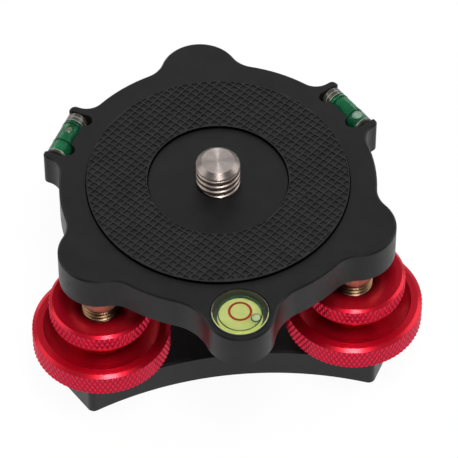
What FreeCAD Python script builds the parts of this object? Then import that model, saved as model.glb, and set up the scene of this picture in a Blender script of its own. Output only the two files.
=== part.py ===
"""Three-wheel leveling base: a tilting camera platform on a three-armed tripod base.

Lengths are in millimetres. +Z is up, the origin is the mouth of the tripod socket in the
middle of the underside, and the round bubble level points towards -Y.
"""
import FreeCAD, Part
import math
import os

import Sketcher
from FreeCAD import Placement, Rotation, Vector

doc = FreeCAD.newDocument("LevelingBase")
sheet = doc.addObject("Spreadsheet::Sheet", "Sizes")

# Driving dimensions: alias, value in millimetres, what it measures
DIMENSIONS = [
    ("stud_circle", 31.4, "radius of the circle that the three studs stand on"),
    ("base_height", 8.0, "thickness of the tripod base"),
    ("arm_reach", 38.7, "from the centre to the flat end of an arm"),
    ("side_arc_radius", 77.2, "radius of the hollow side between two arms"),
    ("side_arc_centre", 95.05, "from the centre to the centre of that arc"),
    ("arm_corner", 1.5, "rounding of an arm's upright corners"),
    ("edge_break", 0.5, "chamfer along the base's edges"),
    ("socket_radius", 4.8, "bore of the tripod socket"),
    ("socket_depth", 7.0, "depth of the tripod socket"),
    ("insert_radius", 7.5, "outside of the socket's steel insert"),
    ("bush_spigot", 5.6, "radius of the guide bush inside the arm"),
    ("bush_floor", 1.4, "metal left under the guide bush"),
    ("bush_radius", 6.2, "radius of the guide bush above the arm"),
    ("bush_top", 14.0, "height of the shoulder that carries the wheel"),
    ("bush_bore", 4.06, "bore that guides the stud"),
    ("key_width", 1.6, "width of the key that stops the stud turning"),
    ("key_low", 6.0, "lower end of the key"),
    ("key_high", 12.0, "upper end of the key"),
    ("key_root", 4.9, "outer face of the key, from the stud's axis"),
    ("key_tip", 3.3, "inner face of the key, from the stud's axis"),
    ("clip_height", 10.6, "height of the retaining clip's middle"),
    ("clip_wire", 0.4, "half the width and half the height of the clip's section"),
    ("clip_circle", 6.3, "radius of the clip's middle line"),
    ("washer_thickness", 0.45, "thickness of the thrust washer"),
    ("wheel_radius", 14.9, "radius of the adjusting wheel over its knurl"),
    ("wheel_low", 14.8, "underside of the adjusting wheel's rim"),
    ("knurl_high", 20.05, "top of the adjusting wheel's knurl"),
    ("wheel_bevel", 1.0, "width of the bevel above and below the knurl"),
    ("rim_inner", 12.45, "inner edge of the adjusting wheel's flat rim"),
    ("rim_step", 0.9, "drop from the rim into the dish"),
    ("dish_low", 17.9, "lowest level of the dish"),
    ("skirt_radius", 8.4, "outside of the wheel's skirt"),
    ("skirt_low", 8.6, "lower edge of the wheel's skirt"),
    ("hub_radius", 6.6, "hub of the adjusting wheel, under the lock wheel"),
    ("hub_top", 20.3, "top of that hub"),
    ("wheel_seat", 14.5, "ceiling of the skirt, over the thrust washer"),
    ("thread_bore", 4.06, "threaded bore of both wheels, at the thread's outside"),
    ("lock_radius", 10.98, "radius of the lock wheel over its knurl"),
    ("lock_neck", 10.6, "radius of the plain band under that knurl"),
    ("lock_low", 24.2, "underside of the lock wheel's rim"),
    ("lock_hub", 7.4, "outside of the lock wheel's hub"),
    ("lock_hub_low", 20.8, "lower end of that hub"),
    ("lock_knurl_low", 25.3, "lower edge of the lock wheel's knurl"),
    ("lock_knurl_high", 28.6, "upper edge of the lock wheel's knurl"),
    ("lock_top", 29.15, "top of the lock wheel's rim"),
    ("lock_bevel", 0.78, "width of the bevel above that knurl"),
    ("lock_dish", 26.6, "lowest level of the lock wheel's dish"),
    ("friction_radius", 6.3, "outside of the friction washer under the lock wheel"),
    ("friction_high", 21.1, "top of the friction washer"),
    ("stud_radius", 4.0, "outside of the stud and of its thread"),
    ("stud_low", 3.8, "lower end of the stud"),
    ("collar_high", 35.6, "top of the stud's full width"),
    ("neck_radius", 1.9, "neck below the stud's ball"),
    ("ball_radius", 2.9, "ball on top of the stud"),
    ("ball_height", 39.85, "height of the ball's centre"),
    ("keyway_high", 14.05, "upper end of the stud's keyway"),
    ("keyway_floor", 3.2, "floor of the keyway, from the stud's axis"),
    ("cup_inner", 3.2, "hollow of the ball cup"),
    ("cup_outer", 3.9, "outside of the ball cup"),
    ("cup_half", 1.2, "from the ball's centre to the cup's lower edge"),
    ("ring_radius", 5.2, "outside of the retainer ring"),
    ("ring_high", 38.2, "top of the retainer ring"),
    ("ring_bore", 2.62, "bore of the retainer ring"),
    ("plate_low", 36.5, "underside of the platform"),
    ("plate_high", 45.0, "top of the platform"),
    ("plate_radius", 33.7, "radius of the round part of the platform"),
    ("lobe_radius", 8.5, "radius of a lobe over a stud"),
    ("lobe_blend", 6.0, "hollow blend beside such a lobe"),
    ("level_circle", 35.7, "from the centre to the round level"),
    ("level_lobe", 7.35, "radius of the lobe round that level"),
    ("level_blend", 10.0, "hollow blend beside that lobe"),
    ("level_bore", 6.25, "bore that holds the round level"),
    ("level_floor", 37.8, "floor of that bore"),
    ("lug_reach", 37.4, "from the centre to the flat end of a tube level's lug"),
    ("lug_half", 7.95, "half the width of that lug"),
    ("lug_blend", 4.0, "hollow blend beside that lug"),
    ("lug_corner", 1.2, "rounding of the lug's outer corners"),
    ("slot_inner", 32.9, "inner wall of the slot for a tube level"),
    ("slot_half", 6.3, "half the length of that slot"),
    ("slot_floor", 40.2, "floor of that slot"),
    ("slot_relief", 1.5, "radius of the two round reliefs in the slot's inner wall"),
    ("relief_half", 4.5, "half the distance between those reliefs"),
    ("relief_shift", 0.3, "how far they lie towards the back"),
    ("plate_break", 0.35, "edge break round the platform"),
    ("pad_outer", 28.1, "outer radius of the grip pad"),
    ("pad_inner", 14.8, "inner radius of the grip pad"),
    ("pad_high", 45.7, "top of the grip pad"),
    ("pad_low", 44.5, "floor of the groove that the pad lies in"),
    ("screw_radius", 4.7625, "outside of the camera screw's thread"),
    ("screw_waist", 4.2, "plain part of that screw inside the platform"),
    ("screw_tip", 3.53, "flat end of the camera screw"),
    ("screw_bevel_low", 50.5, "lower edge of the camera screw's bevel"),
    ("screw_high", 51.6, "end of the camera screw"),
    ("head_radius", 7.4, "head of the camera screw"),
    ("head_low", 37.0, "underside of that head"),
    ("head_high", 39.5, "seat of that head"),
    ("head_socket", 3.46, "corner radius of the hexagon socket in that head"),
    ("head_socket_depth", 1.8, "depth of that socket"),
    ("tube_circle", 35.3, "from the centre to a tube level's axis"),
    ("tube_height", 42.65, "height of a tube level's axis"),
    ("tube_radius", 2.3, "outside of a tube level"),
    ("tube_hollow", 1.85, "radius of its hollow"),
    ("tube_length", 11.6, "length of a tube level"),
    ("tube_shift", 0.3, "how far it lies towards the back in its slot"),
    ("tube_cell", 9.0, "length of its hollow"),
    ("tube_cell_shift", 0.4, "how far that hollow lies towards the front end"),
    ("tube_line_shift", 0.45, "how far the two lines lie towards the back end"),
    ("tube_line_gap", 5.0, "distance between its two lines"),
    ("tube_line_width", 0.35, "width of such a line"),
    ("tube_line_skin", 0.05, "thickness of such a line"),
    ("vial_radius", 6.15, "outside of the round level"),
    ("vial_low", 40.0, "underside of its clear body"),
    ("vial_high", 45.3, "top of its clear body"),
    ("cell_radius", 4.75, "radius of its hollow"),
    ("cell_low", 41.4, "floor of its hollow"),
    ("cell_high", 44.3, "ceiling of its hollow"),
    ("target_outer", 2.5, "outside of the ring that marks the middle"),
    ("target_inner", 2.05, "inside of that ring"),
    ("target_skin", 0.05, "thickness of that ring"),
]

# Where the three studs stand, counted from +X about +Z
STUDS = {"back": 90, "left": 210, "right": 330}
# Where the two tube levels lie
TUBES = {"left": 150, "right": 30}
# How far each tube's bubble lies from its middle, counter-clockwise round the platform
TUBE_BUBBLES = {"left": -1.5, "right": -3.0}

PITCH_GAP = 0.02  # clearance of a pressed or screwed joint, so that its faces never cross


class Size:
    """A length, or a plain number, with the sheet formula that drives it."""

    def __init__(self, value, formula):
        self.value = value
        self.formula = formula

    def __add__(self, other):
        other = as_size(other)
        return Size(self.value + other.value, "(%s + %s)" % (self.formula, other.formula))

    def __sub__(self, other):
        other = as_size(other)
        return Size(self.value - other.value, "(%s - %s)" % (self.formula, other.formula))

    def __mul__(self, other):
        other = as_size(other)
        return Size(self.value * other.value, "(%s * %s)" % (self.formula, other.formula))

    def __neg__(self):
        return Size(-self.value, "(0 - %s)" % self.formula)


def as_size(number):
    if isinstance(number, Size):
        return number
    return Size(float(number), repr(float(number)))


def cosine(degrees):
    return Size(math.cos(math.radians(degrees)), "cos(%g deg)" % degrees)


def sine(degrees):
    return Size(math.sin(math.radians(degrees)), "sin(%g deg)" % degrees)


class Dims:
    """The sheet's values by alias, such as dims.stud_circle."""


dims = Dims()


def fill_sheet():
    for row, (alias, value, note) in enumerate(DIMENSIONS, start=1):
        sheet.set("A%d" % row, note)
        sheet.set("B%d" % row, str(value))
        sheet.setAlias("B%d" % row, alias)
        setattr(dims, alias, Size(value, "Sizes." + alias))
    doc.recompute()


def bind(item, field, size):
    """Sets a property and ties it to the sheet."""
    size = as_size(size)
    setattr(item, field, size.value)
    item.setExpression(field, size.formula)


# Sketches


def plane_of(body, role):
    for feature in body.Origin.OriginFeatures:
        if feature.Role == role:
            return feature
    raise ValueError("no plane called " + role)


def new_sketch(body, name, role="XY_Plane", height=None):
    sketch = body.newObject("Sketcher::SketchObject", name)
    sketch.AttachmentSupport = [(plane_of(body, role), "")]
    sketch.MapMode = "FlatFace"
    if height is not None:
        sketch.AttachmentOffset = Placement(Vector(0, 0, height.value), Rotation())
        sketch.setExpression("AttachmentOffset.Base.z", height.formula)
    return sketch


def drive(sketch, constraint, size):
    number = sketch.addConstraint(constraint)
    sketch.setExpression("Constraints[%d]" % number, size.formula)


def pin_point(sketch, shape, point, along, up):
    """Holds a sketch point at its coordinates, whatever their signs."""
    for kind, size in (("DistanceX", as_size(along)), ("DistanceY", as_size(up))):
        if abs(size.value) < 1e-9:
            axis = -2 if kind == "DistanceX" else -1
            sketch.addConstraint(Sketcher.Constraint("PointOnObject", shape, point, axis))
        elif size.value > 0:
            constraint = Sketcher.Constraint(kind, -1, 1, shape, point, size.value)
            drive(sketch, constraint, size)
        else:
            constraint = Sketcher.Constraint(kind, shape, point, -1, 1, -size.value)
            drive(sketch, constraint, -size)


def add_circle(sketch, along, up, radius):
    along, up, radius = as_size(along), as_size(up), as_size(radius)
    centre = Vector(along.value, up.value, 0)
    circle = Part.Circle(centre, Vector(0, 0, 1), radius.value)
    shape = sketch.addGeometry(circle, False)
    if along.value or up.value:
        pin_point(sketch, shape, 3, along, up)
    else:
        centre_circle(sketch, shape)
    drive(sketch, Sketcher.Constraint("Radius", shape, radius.value), radius)
    return shape


def centre_circle(sketch, shape):
    sketch.addConstraint(Sketcher.Constraint("Coincident", shape, 3, -1, 1))


def add_outline(sketch, corners):
    """Closes a chain of straight lines through corners given as (along, up)."""
    corners = [(as_size(along), as_size(up)) for along, up in corners]
    lines = []
    for index, (along, up) in enumerate(corners):
        next_along, next_up = corners[(index + 1) % len(corners)]
        start = Vector(along.value, up.value, 0)
        end = Vector(next_along.value, next_up.value, 0)
        lines.append(sketch.addGeometry(Part.LineSegment(start, end), False))
    for index, line in enumerate(lines):
        following = lines[(index + 1) % len(lines)]
        sketch.addConstraint(Sketcher.Constraint("Coincident", line, 2, following, 1))
        pin_point(sketch, line, 1, *corners[index])
    return lines


# Features


def new_body(label, at=(0, 0), height=None, turned=0):
    body = doc.addObject("PartDesign::Body", label)
    body.Label = label
    along, up = as_size(at[0]), as_size(at[1])
    level = as_size(height if height is not None else 0)
    spin = Rotation(Vector(0, 0, 1), turned)
    body.Placement = Placement(Vector(along.value, up.value, level.value), spin)
    body.setExpression("Placement.Base.x", along.formula)
    body.setExpression("Placement.Base.y", up.formula)
    body.setExpression("Placement.Base.z", level.formula)
    return body


def pad(body, name, sketch, length):
    feature = body.newObject("PartDesign::Pad", name)
    feature.Profile = sketch
    bind(feature, "Length", length)
    return feature


def pocket(body, name, sketch, depth, upwards=False):
    """Cuts down from the sketch, or up from it."""
    feature = body.newObject("PartDesign::Pocket", name)
    feature.Profile = sketch
    feature.Reversed = upwards
    bind(feature, "Length", depth)
    return feature


def turned(body, name, corners):
    """Revolves an outline of (radius, height) corners about the body's own Z."""
    sketch = new_sketch(body, name + "_profile", "XZ_Plane")
    add_outline(sketch, corners)
    feature = body.newObject("PartDesign::Revolution", name)
    feature.Profile = sketch
    feature.ReferenceAxis = (sketch, ["V_Axis"])
    feature.Angle = 360
    return feature


def thrice(body, name, features):
    """Repeats features at the three studs."""
    pattern = body.newObject("PartDesign::PolarPattern", name)
    pattern.Originals = features
    pattern.Axis = (plane_of(body, "Z_Axis"), [""])
    pattern.Angle = 360
    pattern.Occurrences = 3
    body.Tip = pattern
    return pattern


def mirrored(body, name, features):
    """Repeats features on the other side of the YZ plane."""
    pattern = body.newObject("PartDesign::Mirrored", name)
    pattern.Originals = features
    pattern.MirrorPlane = (plane_of(body, "YZ_Plane"), [""])
    body.Tip = pattern
    return pattern


def edges_where(feature, test):
    return ["Edge%d" % (index + 1) for index, edge in enumerate(feature.Shape.Edges) if test(edge)]


def rounded(body, name, test, radius):
    doc.recompute()
    base = body.Tip
    feature = body.newObject("PartDesign::Fillet", name)
    feature.Base = (base, edges_where(base, test))
    bind(feature, "Radius", radius)
    doc.recompute()
    return feature


def broken(body, name, test, size):
    doc.recompute()
    base = body.Tip
    feature = body.newObject("PartDesign::Chamfer", name)
    feature.Base = (base, edges_where(base, test))
    bind(feature, "Size", size)
    doc.recompute()
    return feature


def is_upright(edge):
    if len(edge.Vertexes) != 2 or not isinstance(edge.Curve, Part.Line):
        return False
    low, high = edge.Vertexes[0].Point, edge.Vertexes[1].Point
    return math.hypot(low.x - high.x, low.y - high.y) < 1e-6


def angle_of(point):
    return math.degrees(math.atan2(point.y, point.x)) % 360


def is_near_angle(edge, angles, spread):
    spot = angle_of(edge.Vertexes[0].Point)
    return any(abs((spot - angle + 180) % 360 - 180) < spread for angle in angles)


def level_edges(height):
    """Tests for edges that lie flat at a height."""
    def lies_flat(edge):
        return abs(edge.BoundBox.ZMin - height) < 1e-6 and abs(edge.BoundBox.ZMax - height) < 1e-6
    return lies_flat


def stud_place(name):
    angle = STUDS[name]
    return dims.stud_circle * cosine(angle), dims.stud_circle * sine(angle)


# Tripod base


def base_plate():
    body = new_body("base_plate")
    outline = new_sketch(body, "arm_ends")
    reach = dims.arm_reach * 2
    add_outline(outline, [
        (0, -reach),
        (reach * cosine(30), dims.arm_reach),
        (-(reach * cosine(30)), dims.arm_reach),
    ])
    pad(body, "slab", outline, dims.base_height)

    hollow = new_sketch(body, "hollow_side", height=dims.base_height)
    add_circle(hollow, 0, -dims.side_arc_centre, dims.side_arc_radius)
    sides = pocket(body, "hollow_cut", hollow, dims.base_height)
    thrice(body, "hollow_sides", [sides])

    rounded(body, "arm_corners", is_upright, dims.arm_corner)
    broken(body, "top_edge", level_edges(dims.base_height.value), dims.edge_break)
    broken(body, "bottom_edge", level_edges(0), dims.edge_break)

    seats = new_sketch(body, "bush_seat", height=dims.base_height)
    add_circle(seats, 0, dims.stud_circle, dims.bush_spigot + PITCH_GAP)
    seat = pocket(body, "bush_seat_cut", seats, dims.base_height - dims.bush_floor)
    thrice(body, "bush_seats", [seat])

    socket = new_sketch(body, "insert_seat")
    add_circle(socket, 0, 0, dims.insert_radius + PITCH_GAP)
    pocket(body, "insert_seat_cut", socket, dims.socket_depth, upwards=True)
    return body


def socket_insert():
    """Steel bush with the tripod's thread, screwed up into the base."""
    body = new_body("tripod_socket_insert")
    turned(body, "insert", [
        (dims.socket_radius, 0),
        (dims.insert_radius - 0.3, 0),
        (dims.insert_radius, 0.3),
        (dims.insert_radius, dims.socket_depth),
        (dims.socket_radius, dims.socket_depth),
    ])
    return body


def guide_bush(name):
    """Pressed into an arm: it carries the wheel on its shoulder and guides the stud."""
    body = new_body("guide_bush_" + name, stud_place(name), turned=STUDS[name])
    groove_half = dims.clip_wire + 0.05
    groove_floor = dims.clip_circle - dims.clip_wire
    turned(body, "bush", [
        (dims.bush_bore, dims.bush_floor),
        (dims.bush_spigot, dims.bush_floor),
        (dims.bush_spigot, dims.base_height),
        (dims.bush_radius, dims.base_height),
        (dims.bush_radius, dims.clip_height - groove_half),
        (groove_floor, dims.clip_height - groove_half),
        (groove_floor, dims.clip_height + groove_half),
        (dims.bush_radius, dims.clip_height + groove_half),
        (dims.bush_radius, dims.bush_top),
        (dims.bush_bore, dims.bush_top),
    ])
    slot = new_sketch(body, "key_slot", height=dims.key_low)
    half = dims.key_width * 0.5
    add_outline(slot, [
        (dims.key_tip, -half),
        (dims.key_root, -half),
        (dims.key_root, half),
        (dims.key_tip, half),
    ])
    pocket(body, "key_slot_cut", slot, dims.key_high - dims.key_low, upwards=True)
    return body


def guide_key(name):
    """Sits in the bush and runs in the stud's keyway."""
    body = new_body("guide_key_" + name, stud_place(name), turned=STUDS[name])
    outline = new_sketch(body, "key_outline", height=dims.key_low)
    half = dims.key_width * 0.5 - PITCH_GAP
    add_outline(outline, [
        (dims.key_tip, -half),
        (dims.key_root - PITCH_GAP, -half),
        (dims.key_root - PITCH_GAP, half),
        (dims.key_tip, half),
    ])
    pad(body, "key", outline, dims.key_high - dims.key_low)
    return body


def retaining_clip(name):
    """Spring ring, open at one side, that holds the wheel down on its bush."""
    body = new_body("retaining_clip_" + name, stud_place(name), turned=STUDS[name] + 180)
    low = dims.clip_height - dims.clip_wire
    high = dims.clip_height + dims.clip_wire
    inner = dims.clip_circle - dims.clip_wire
    outer = dims.clip_circle + dims.clip_wire
    turned(body, "ring", [(inner, low), (outer, low), (outer, high), (inner, high)])
    gap = new_sketch(body, "gap", height=low)
    add_outline(gap, [
        (inner - 1, -dims.clip_wire),
        (outer + 1, -dims.clip_wire),
        (outer + 1, dims.clip_wire),
        (inner - 1, dims.clip_wire),
    ])
    pocket(body, "gap_cut", gap, high - low, upwards=True)
    return body


def flat_ring(label, at, low, high, outer, inner):
    body = new_body(label, at)
    turned(body, "ring", [(inner, low), (outer, low), (outer, high), (inner, high)])
    return body


def thrust_washer(name):
    return flat_ring("thrust_washer_" + name, stud_place(name), dims.bush_top,
                     dims.bush_top + dims.washer_thickness, dims.bush_radius - 0.1,
                     dims.bush_bore + 0.3)


# Wheels and studs


def adjusting_wheel(name):
    """Dished knurled nut with a skirt that turns on the guide bush."""
    body = new_body("adjusting_wheel_" + name, stud_place(name))
    bevel = dims.wheel_bevel
    bevel_rise = bevel * 0.5
    rim_top = dims.knurl_high + bevel_rise
    dish_edge = rim_top - dims.rim_step
    skirt_bore = dims.bush_radius + 0.05
    groove_half = dims.clip_wire + 0.1
    groove_floor = dims.clip_circle + dims.clip_wire + 0.1
    turned(body, "wheel", [
        (skirt_bore, dims.skirt_low),
        (dims.skirt_radius - 0.4, dims.skirt_low),
        (dims.skirt_radius, dims.skirt_low + 0.4),
        (dims.skirt_radius, dims.wheel_low),
        (dims.wheel_radius - bevel, dims.wheel_low),
        (dims.wheel_radius, dims.wheel_low + bevel_rise),
        (dims.wheel_radius, dims.knurl_high),
        (dims.wheel_radius - bevel, rim_top),
        (dims.rim_inner, rim_top),
        (dims.rim_inner - 0.5, dish_edge),
        (dims.rim_inner - 1.6, dish_edge - 0.75),
        (dims.rim_inner - 3.4, dims.dish_low + 0.3),
        (dims.hub_radius + 0.8, dims.dish_low),
        (dims.hub_radius, dims.dish_low + 0.8),
        (dims.hub_radius, dims.hub_top - 0.3),
        (dims.hub_radius - 0.3, dims.hub_top),
        (dims.thread_bore, dims.hub_top),
        (dims.thread_bore, dims.wheel_seat),
        (skirt_bore, dims.wheel_seat),
        (skirt_bore, dims.clip_height + groove_half),
        (groove_floor, dims.clip_height + groove_half),
        (groove_floor, dims.clip_height - groove_half),
        (skirt_bore, dims.clip_height - groove_half),
    ])
    return body


def friction_washer(name):
    return flat_ring("friction_washer_" + name, stud_place(name), dims.hub_top,
                     dims.friction_high, dims.friction_radius, dims.thread_bore + 0.2)


def lock_wheel(name):
    """Smaller dished knurled nut that jams against the adjusting wheel's hub."""
    body = new_body("lock_wheel_" + name, stud_place(name))
    recess = dims.friction_radius + 0.1
    turned(body, "wheel", [
        (recess, dims.lock_hub_low),
        (dims.lock_hub - 0.3, dims.lock_hub_low),
        (dims.lock_hub, dims.lock_hub_low + 0.3),
        (dims.lock_hub, dims.lock_low),
        (dims.lock_neck - 0.3, dims.lock_low),
        (dims.lock_neck, dims.lock_low + 0.3),
        (dims.lock_neck, dims.lock_knurl_low),
        (dims.lock_radius, dims.lock_knurl_low + 0.2),
        (dims.lock_radius, dims.lock_knurl_high),
        (dims.lock_radius - dims.lock_bevel, dims.lock_top),
        (dims.lock_radius - 2.8, dims.lock_dish + 1.5),
        (dims.lock_radius - 4.8, dims.lock_dish + 0.55),
        (dims.thread_bore + 0.5, dims.lock_dish),
        (dims.thread_bore, dims.lock_dish - 0.5),
        (dims.thread_bore, dims.friction_high),
        (recess, dims.friction_high),
    ])
    return body


def leveling_stud(name):
    """Ball stud: ball, neck, shank and a keyway down one side."""
    body = new_body("leveling_stud_" + name, stud_place(name), turned=STUDS[name])
    turned(body, "shank", [
        (0, dims.stud_low),
        (dims.stud_radius - 0.5, dims.stud_low),
        (dims.stud_radius, dims.stud_low + 0.5),
        (dims.stud_radius, dims.collar_high - 0.3),
        (dims.stud_radius - 0.3, dims.collar_high),
        (dims.neck_radius, dims.collar_high),
        (dims.neck_radius, dims.ball_height),
        (0, dims.ball_height),
    ])
    ball = body.newObject("PartDesign::AdditiveSphere", "ball")
    bind(ball, "Radius", dims.ball_radius)
    ball.Placement.Base = Vector(0, 0, dims.ball_height.value)
    ball.setExpression("Placement.Base.z", dims.ball_height.formula)
    slot = new_sketch(body, "keyway", height=dims.stud_low)
    half = dims.key_width * 0.5 + 0.1
    add_outline(slot, [
        (dims.keyway_floor, -half),
        (dims.stud_radius + 1, -half),
        (dims.stud_radius + 1, half),
        (dims.keyway_floor, half),
    ])
    pocket(body, "keyway_cut", slot, dims.keyway_high - dims.stud_low, upwards=True)
    return body


def ball_cup(name):
    """Round liner between the ball and the platform, domed inside and outside."""
    body = new_body("ball_cup_" + name, stud_place(name), dims.ball_height)
    ball = body.newObject("PartDesign::AdditiveSphere", "cup_outside")
    bind(ball, "Radius", dims.cup_outer)
    hollow = body.newObject("PartDesign::SubtractiveSphere", "cup_inside")
    bind(hollow, "Radius", dims.cup_inner)
    trim = new_sketch(body, "cup_trim", height=-dims.cup_half)
    add_circle(trim, 0, 0, dims.cup_outer + 1)
    pocket(body, "cup_opening", trim, dims.cup_outer)
    return body


def retainer_ring(name):
    """Screwed up into the platform under the ball."""
    body = new_body("retainer_ring_" + name, stud_place(name))
    turned(body, "ring", [
        (dims.ring_bore, dims.plate_low),
        (dims.ring_radius, dims.plate_low),
        (dims.ring_radius, dims.ring_high),
        (dims.ring_bore + 0.25, dims.ring_high),
        (dims.ring_bore, dims.ring_high - 0.25),
    ])
    return body


# Platform


def ball_pocket(body):
    """Stepped bore from below, drawn beside the back stud's axis."""
    sketch = new_sketch(body, "ball_pocket_profile", "YZ_Plane")
    axis = dims.stud_circle
    roof = dims.ball_height - dims.plate_low
    step = dims.ring_high - dims.plate_low
    wide = dims.ring_radius + PITCH_GAP
    narrow = dims.cup_outer + 0.05
    lines = add_outline(sketch, [
        (axis, 0), (axis + wide, 0), (axis + wide, step),
        (axis + narrow, step), (axis + narrow, roof), (axis, roof),
    ])
    groove = body.newObject("PartDesign::Groove", "ball_pocket")
    groove.Profile = sketch
    groove.ReferenceAxis = (sketch, ["Edge%d" % (lines[-1] + 1)])
    groove.Angle = 360
    dome = body.newObject("PartDesign::SubtractiveSphere", "ball_dome")
    bind(dome, "Radius", narrow)
    dome.Placement.Base = Vector(0, axis.value, roof.value)
    dome.setExpression("Placement.Base.y", axis.formula)
    dome.setExpression("Placement.Base.z", roof.formula)
    return [groove, dome]


def lug_corner(reach, side):
    """Place of a point on the right-hand lug, reach out and side across."""
    angle = TUBES["right"]
    return (reach * cosine(angle) - side * sine(angle), reach * sine(angle) + side * cosine(angle))


def lug_box(sketch, inner, outer, half):
    add_outline(sketch, [lug_corner(inner, -half), lug_corner(outer, -half),
                         lug_corner(outer, half), lug_corner(inner, half)])


def top_plate():
    """Round platform with three stud lobes, a level lobe and two lugs for tube levels."""
    body = new_body("top_plate", height=dims.plate_low)
    thickness = dims.plate_high - dims.plate_low

    disc = new_sketch(body, "disc_outline")
    add_circle(disc, 0, 0, dims.plate_radius)
    pad(body, "disc", disc, thickness)

    lobe = new_sketch(body, "lobe_outline")
    add_circle(lobe, 0, dims.stud_circle, dims.lobe_radius)
    thrice(body, "stud_lobes", [pad(body, "lobe", lobe, thickness)])

    nose = new_sketch(body, "level_lobe_outline")
    add_circle(nose, 0, -dims.level_circle, dims.level_lobe)
    pad(body, "level_lobe", nose, thickness)

    lug = new_sketch(body, "lug_outline")
    lug_box(lug, dims.plate_radius * 0.75, dims.lug_reach, dims.lug_half)
    mirrored(body, "lugs", [pad(body, "lug", lug, thickness)])

    def at_disc(edge):
        spot = edge.Vertexes[0].Point
        return is_upright(edge) and abs(math.hypot(spot.x, spot.y) - dims.plate_radius.value) < 0.01

    def at_lug_tip(edge):
        spot = edge.Vertexes[0].Point
        return is_upright(edge) and math.hypot(spot.x, spot.y) > dims.lug_reach.value

    rounded(body, "lobe_blends", lambda edge: at_disc(edge)
            and is_near_angle(edge, STUDS.values(), 25), dims.lobe_blend)
    rounded(body, "level_blends", lambda edge: at_disc(edge)
            and is_near_angle(edge, [270], 25), dims.level_blend)
    rounded(body, "lug_blends", lambda edge: at_disc(edge)
            and is_near_angle(edge, TUBES.values(), 25), dims.lug_blend)
    rounded(body, "lug_corners", lambda edge: at_lug_tip(edge)
            and is_near_angle(edge, TUBES.values(), 15), dims.lug_corner)
    broken(body, "plate_top_edge", level_edges(thickness.value), dims.plate_break)
    broken(body, "plate_bottom_edge", level_edges(0), dims.plate_break)

    groove = new_sketch(body, "pad_groove", height=thickness)
    add_circle(groove, 0, 0, dims.pad_outer + PITCH_GAP)
    add_circle(groove, 0, 0, dims.pad_inner - PITCH_GAP)
    pocket(body, "pad_groove_cut", groove, dims.plate_high - dims.pad_low)

    bore = new_sketch(body, "screw_bore", height=thickness)
    add_circle(bore, 0, 0, dims.screw_radius + PITCH_GAP)
    pocket(body, "screw_bore_cut", bore, thickness)
    head = new_sketch(body, "head_bore")
    add_circle(head, 0, 0, dims.head_radius + 0.1)
    pocket(body, "head_bore_cut", head, dims.head_high - dims.plate_low, upwards=True)

    thrice(body, "ball_pockets", ball_pocket(body))

    level = new_sketch(body, "level_bore", height=thickness)
    add_circle(level, 0, -dims.level_circle, dims.level_bore)
    pocket(body, "level_bore_cut", level, dims.plate_high - dims.level_floor)

    slot = new_sketch(body, "tube_slot", height=thickness)
    lug_box(slot, dims.slot_inner, dims.lug_reach + 2, dims.slot_half)
    slot_cut = pocket(body, "tube_slot_cut", slot, dims.plate_high - dims.slot_floor)
    mirrored(body, "tube_slots", [slot_cut])
    for side, word in ((-1, "near"), (1, "far")):
        relief = new_sketch(body, "slot_relief_" + word, height=thickness)
        spot = lug_corner(dims.slot_inner, dims.relief_half * side + dims.relief_shift)
        add_circle(relief, spot[0], spot[1], dims.slot_relief)
        relief_cut = pocket(body, "slot_relief_cut_" + word, relief,
                            dims.plate_high - dims.slot_floor)
        mirrored(body, "slot_reliefs_" + word, [relief_cut])
    return body


def grip_pad():
    return flat_ring("grip_pad", (0, 0), dims.pad_low, dims.pad_high, dims.pad_outer,
                     dims.pad_inner)


def camera_screw():
    """Screw with a flat head under the platform and a hexagon socket in the head."""
    body = new_body("camera_screw")
    turned(body, "screw", [
        (0, dims.head_low),
        (dims.head_radius - 0.4, dims.head_low),
        (dims.head_radius, dims.head_low + 0.4),
        (dims.head_radius, dims.head_high),
        (dims.screw_waist, dims.head_high),
        (dims.screw_waist, dims.plate_high),
        (dims.screw_radius, dims.plate_high),
        (dims.screw_radius, dims.screw_bevel_low),
        (dims.screw_tip, dims.screw_high),
        (0, dims.screw_high),
    ])
    socket = new_sketch(body, "hexagon", height=dims.head_low)
    corners = [(dims.head_socket * cosine(60 * step), dims.head_socket * sine(60 * step))
               for step in range(6)]
    add_outline(socket, corners)
    pocket(body, "hexagon_cut", socket, dims.head_socket_depth, upwards=True)
    return body


# Bubble levels


def cylinder(name, radius, low, high, at=(0, 0)):
    item = doc.addObject("Part::Cylinder", name)
    bind(item, "Radius", radius)
    bind(item, "Height", as_size(high) - low)
    item.Placement.Base = Vector(at[0], at[1], as_size(low).value)
    return item


def cut(name, base, tool):
    item = doc.addObject("Part::Cut", name)
    item.Base = base
    item.Tool = tool
    item.Label = name
    return item


def bubble(name, at, half_length, half_width, half_height):
    item = doc.addObject("Part::Ellipsoid", name)
    item.Radius1 = half_height
    item.Radius2 = half_length
    item.Radius3 = half_width
    item.Placement.Base = at
    return item


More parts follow.
